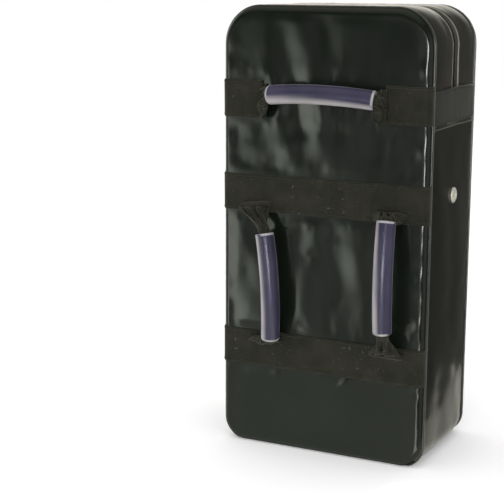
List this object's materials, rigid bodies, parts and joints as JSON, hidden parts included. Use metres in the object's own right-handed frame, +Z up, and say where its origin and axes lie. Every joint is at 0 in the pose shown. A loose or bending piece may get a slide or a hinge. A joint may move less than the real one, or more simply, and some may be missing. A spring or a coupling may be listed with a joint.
{
  "type": "kick shield",
  "caption": "Upright foam-filled kick shield in a zipped leather cover, with strap handles threaded through clear grip hoses on its back.",
  "frame": {"origin": "on the floor plane, at the middle of the flat foot of the side wall", "axes": "+Z up the height of the shield, -Y out of the striking face, +Y out of the back with the handles, +X to the holder's left"},
  "size_m": [0.3009, 0.2297, 0.602],
  "materials": {
    "cover_leather": "satin",
    "side_band_vinyl": "satin",
    "strap_webbing": "matte",
    "clear_hose": "gloss",
    "eyelet_metal": "satin",
    "zip_tape_fabric": "matte",
    "zip_coil_plastic": "satin",
    "zip_metal": "satin",
    "firm_foam": "matte",
    "soft_foam": "matte",
    "orange_ink": "satin",
    "red_ink": "satin"
  },
  "bodies": {
    "shield": {"front_panel": "cover_leather", "back_panel": "cover_leather", "lower_gusset": "cover_leather", "zip_gusset_front": "cover_leather", "zip_gusset_rear": "cover_leather", "front_welt": "cover_leather", "rear_welt": "cover_leather", "gusset_seam_left": "cover_leather", "gusset_seam_right": "cover_leather", "middle_strap": "strap_webbing", "lower_strap": "strap_webbing", "upper_strap_left": "strap_webbing", "upper_strap_right": "strap_webbing", "side_band": "side_band_vinyl", "eyelet_left": "eyelet_metal", "eyelet_washer_left": "eyelet_metal", "eyelet_right": "eyelet_metal", "eyelet_washer_right": "eyelet_metal", "zip_tape_front": "zip_tape_fabric", "zip_coil_front": "zip_coil_plastic", "zip_tape_rear": "zip_tape_fabric", "zip_coil_rear": "zip_coil_plastic", "zip_end_stop": "zip_metal", "zip_park_stop": "zip_metal", "upper_webbing_roots": "strap_webbing", "left_webbing_roots": "strap_webbing", "right_webbing_roots": "strap_webbing", "foam_front_layer": "firm_foam", "foam_core": "soft_foam", "foam_back_layer": "soft_foam", "print_orange_chevrons": "orange_ink", "print_red_chevrons": "red_ink", "print_red_rule": "red_ink"},
    "upper_loop": {"upper_webbing_loop": "strap_webbing"},
    "upper_hose": {"upper_grip_hose": "clear_hose"},
    "left_loop": {"left_webbing_loop": "strap_webbing"},
    "left_hose": {"left_grip_hose": "clear_hose"},
    "right_loop": {"right_webbing_loop": "strap_webbing"},
    "right_hose": {"right_grip_hose": "clear_hose"},
    "slider": {"zip_slider": "zip_metal"},
    "pull": {"zip_pull": "zip_metal"}
  },
  "joints": [
    {"name": "upper_handle_swing", "type": "hinge", "parent": "shield", "child": "upper_loop", "pos_m": [0, 0.099, 0.4765], "axis": [1, 0, 0], "range_deg": [-83, 17]},
    {"name": "upper_hose_slide", "type": "hinge", "parent": "upper_loop", "child": "upper_hose", "pos_m": [0, -0.17273, 0.30004], "axis": [0, 0.5446, -0.8387], "range_deg": [-0.16, 2.46]},
    {"name": "left_handle_swing", "type": "hinge", "parent": "shield", "child": "left_loop", "pos_m": [0.085, 0.099, 0.245], "axis": [0.0872, 0, 0.9962], "range_deg": [-100, 0]},
    {"name": "left_hose_slide", "type": "hinge", "parent": "left_loop", "child": "left_hose", "pos_m": [0.33225, -0.10926, 0.22337], "axis": [0.6403, 0.766, -0.056], "range_deg": [0, 5.4]},
    {"name": "right_handle_swing", "type": "hinge", "parent": "shield", "child": "right_loop", "pos_m": [-0.098, 0.099, 0.245], "axis": [0, 0, 1], "range_deg": [-55, 45]},
    {"name": "right_hose_slide", "type": "hinge", "parent": "right_loop", "child": "right_hose", "pos_m": [-0.06976, -0.22377, 0.245], "axis": [0.9962, 0.0872, 0], "range_deg": [-5.4, 0]},
    {"name": "zip_slider_travel", "type": "slide", "parent": "shield", "child": "slider", "axis": [0, 0, 1], "range_m": [-0.0195, 0.063]},
    {"name": "zip_pull_lift", "type": "hinge", "parent": "slider", "child": "pull", "pos_m": [-0.1482, 0, 0.482], "axis": [0, 1, 0], "range_deg": [0, 6]}
  ]
}
